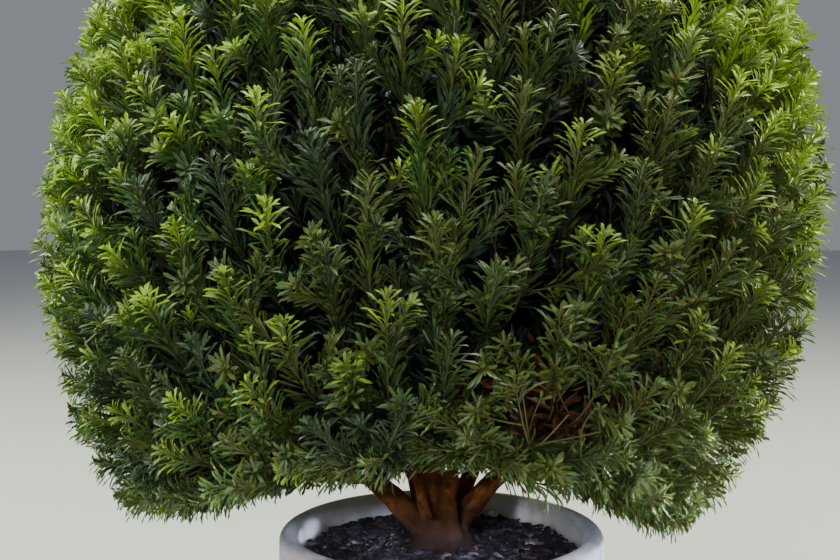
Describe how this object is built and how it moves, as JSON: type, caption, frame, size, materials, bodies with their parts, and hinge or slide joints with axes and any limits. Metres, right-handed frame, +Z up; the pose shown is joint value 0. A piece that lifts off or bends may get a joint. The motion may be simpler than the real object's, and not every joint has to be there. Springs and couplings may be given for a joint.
{
  "type": "potted box topiary ball",
  "caption": "Clipped evergreen ball on a short stool of forking stems, growing in a round clay pot with a rolled rim, for a patio or doorway",
  "frame": {"origin": "centre of the pot's flat underside, on the surface it stands on", "axes": "+Z up along the pot's axis; the front of the plant, as pictured, faces -Y; +X to the right seen from the front"},
  "size_m": [0.7113, 0.6865, 0.9724],
  "materials": {
    "clay": "matt",
    "compost": "matt",
    "bark": "matt",
    "foliage": "satin"
  },
  "bodies": {
    "root": {"pot": "clay", "soil": "compost", "trunk": "bark", "bough_left": "bark", "bough_right": "bark", "bough_front_left": "bark", "bough_front_right": "bark", "bough_back_left": "bark", "bough_back_right": "bark", "bough_top": "bark", "foliage_left": "foliage", "foliage_right": "foliage", "foliage_front_left": "foliage", "foliage_front_right": "foliage", "foliage_back_left": "foliage", "foliage_back_right": "foliage", "foliage_top": "foliage"}
  },
  "joints": []
}
